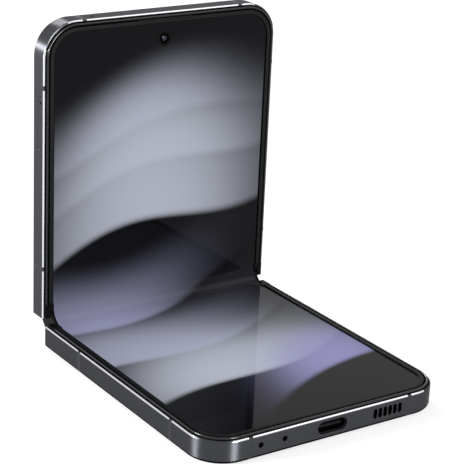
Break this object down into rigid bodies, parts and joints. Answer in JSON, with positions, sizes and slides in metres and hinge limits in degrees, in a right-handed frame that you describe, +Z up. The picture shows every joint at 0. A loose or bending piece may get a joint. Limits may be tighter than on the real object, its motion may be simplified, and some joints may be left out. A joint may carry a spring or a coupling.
{
  "type": "foldable smartphone",
  "caption": "Clamshell smartphone that folds across the middle of its screen on a geared hinge that holds any angle, with press keys and a sliding card tray.",
  "frame": {"origin": "middle of the lower half's flat back face, which lies on the table", "axes": "+X to the viewer's right along the hinge, -Y from the hinge to the lower half's free edge and charging port, +Z up from the table"},
  "size_m": [0.0724, 0.0898, 0.0889],
  "materials": {
    "frame_metal": "polished, dark graphite",
    "spine_metal": "polished, dark graphite",
    "antenna_plastic": "satin",
    "back_glass": "matt dark glass",
    "window_glass": "polished black glass",
    "screen": "glossy, lit from behind",
    "rim_plastic": "satin, dark grey",
    "cap_plastic": "half gloss, black",
    "inner_plastic": "black",
    "pouch_foil": "laminated foil",
    "copper": "lacquered copper wire",
    "circuit_board": "solder resist",
    "steel": "satin",
    "magnet_nickel": "nickel plated magnet",
    "hinge_steel": "dark sintered steel",
    "gear_brass": "machined",
    "lens_glass": "coated glass",
    "camera_body": "black",
    "flash_lens": "frosted",
    "card_contacts": "moulded card"
  },
  "bodies": {
    "base": {"lower_frame": "frame_metal", "lower_antenna_splits": "antenna_plastic", "lower_back_glass": "back_glass", "lower_rim": "rim_plastic", "lower_hinge_caps": "cap_plastic", "lower_display": "screen", "lower_battery": "pouch_foil", "charging_coil": "copper", "sub_board": "circuit_board", "usb_socket": "steel", "loudspeaker": "inner_plastic", "speaker_mesh": "inner_plastic", "bottom_microphones": "steel", "vibration_motor": "steel", "lower_magnets": "magnet_nickel", "lower_inner_cover": "inner_plastic", "lower_screws": "steel", "lower_hinge_arms": "steel"},
    "spine": {"spine_cover": "spine_metal", "spine_end_caps": "cap_plastic", "hinge_brackets": "hinge_steel", "bracket_screws": "steel", "detent_followers": "steel", "detent_springs": "steel", "fold_support_plate": "steel", "display_fold": "screen"},
    "lower_idler": {"lower_idler_gears": "gear_brass"},
    "upper_idler": {"upper_idler_gears": "gear_brass"},
    "lid": {"upper_frame": "frame_metal", "upper_antenna_splits": "antenna_plastic", "cover_window": "window_glass", "cover_display": "screen", "upper_rim": "rim_plastic", "upper_hinge_caps": "cap_plastic", "upper_display": "screen", "upper_battery": "pouch_foil", "main_board": "circuit_board", "board_shields": "steel", "rear_lens_rings": "frame_metal", "rear_lenses": "lens_glass", "rear_camera_modules": "camera_body", "flash_window": "flash_lens", "front_camera": "lens_glass", "earpiece_receiver": "steel", "earpiece_mesh": "inner_plastic", "top_microphone": "steel", "upper_magnets": "magnet_nickel", "upper_inner_cover": "inner_plastic", "upper_screws": "steel", "upper_hinge_arms": "steel", "card_reader": "steel", "key_switches": "steel"},
    "card_tray": {"card_tray": "frame_metal", "memory_card": "card_contacts"},
    "power_key": {"power_key": "frame_metal"},
    "volume_key": {"volume_key": "frame_metal"}
  },
  "joints": [
    {"name": "fold_lower", "type": "hinge", "parent": "base", "child": "spine", "pos_m": [0, 0.03995, 0.0055], "axis": [1, 0, 0], "range_deg": [-45, 45], "deforming": ["display_fold"]},
    {"name": "fold_upper", "type": "hinge", "parent": "spine", "child": "lid", "pos_m": [0, 0.04285, 0.0084], "axis": [1, 0, 0], "range_deg": [-45, 45], "deforming": ["display_fold"]},
    {"name": "lower_idler_spin", "type": "hinge", "parent": "spine", "child": "lower_idler", "pos_m": [0, 0.04202, 0.00449], "axis": [1, 0, 0], "range_deg": [-36, 36]},
    {"name": "upper_idler_spin", "type": "hinge", "parent": "spine", "child": "upper_idler", "pos_m": [0, 0.04386, 0.00633], "axis": [1, 0, 0], "range_deg": [-36, 36]},
    {"name": "tray_slide", "type": "slide", "parent": "lid", "child": "card_tray", "axis": [-1, 0, 0], "range_m": [0, 0.02]},
    {"name": "power_press", "type": "slide", "parent": "lid", "child": "power_key", "axis": [-1, 0, 0], "range_m": [0, 0.0003], "stiffness_N_per_m": 1500},
    {"name": "volume_rock", "type": "hinge", "parent": "lid", "child": "volume_key", "pos_m": [0.03335, 0.04482, 0.0594], "axis": [0, -1, 0], "range_deg": [-1.2, 1.2], "stiffness_Nm_per_rad": 2}
  ],
  "couplings": [
    {"joint": "fold_upper", "follows": "fold_lower", "ratio": 1},
    {"joint": "lower_idler_spin", "follows": "fold_lower", "ratio": 0.76923},
    {"joint": "upper_idler_spin", "follows": "fold_lower", "ratio": -0.76923}
  ]
}
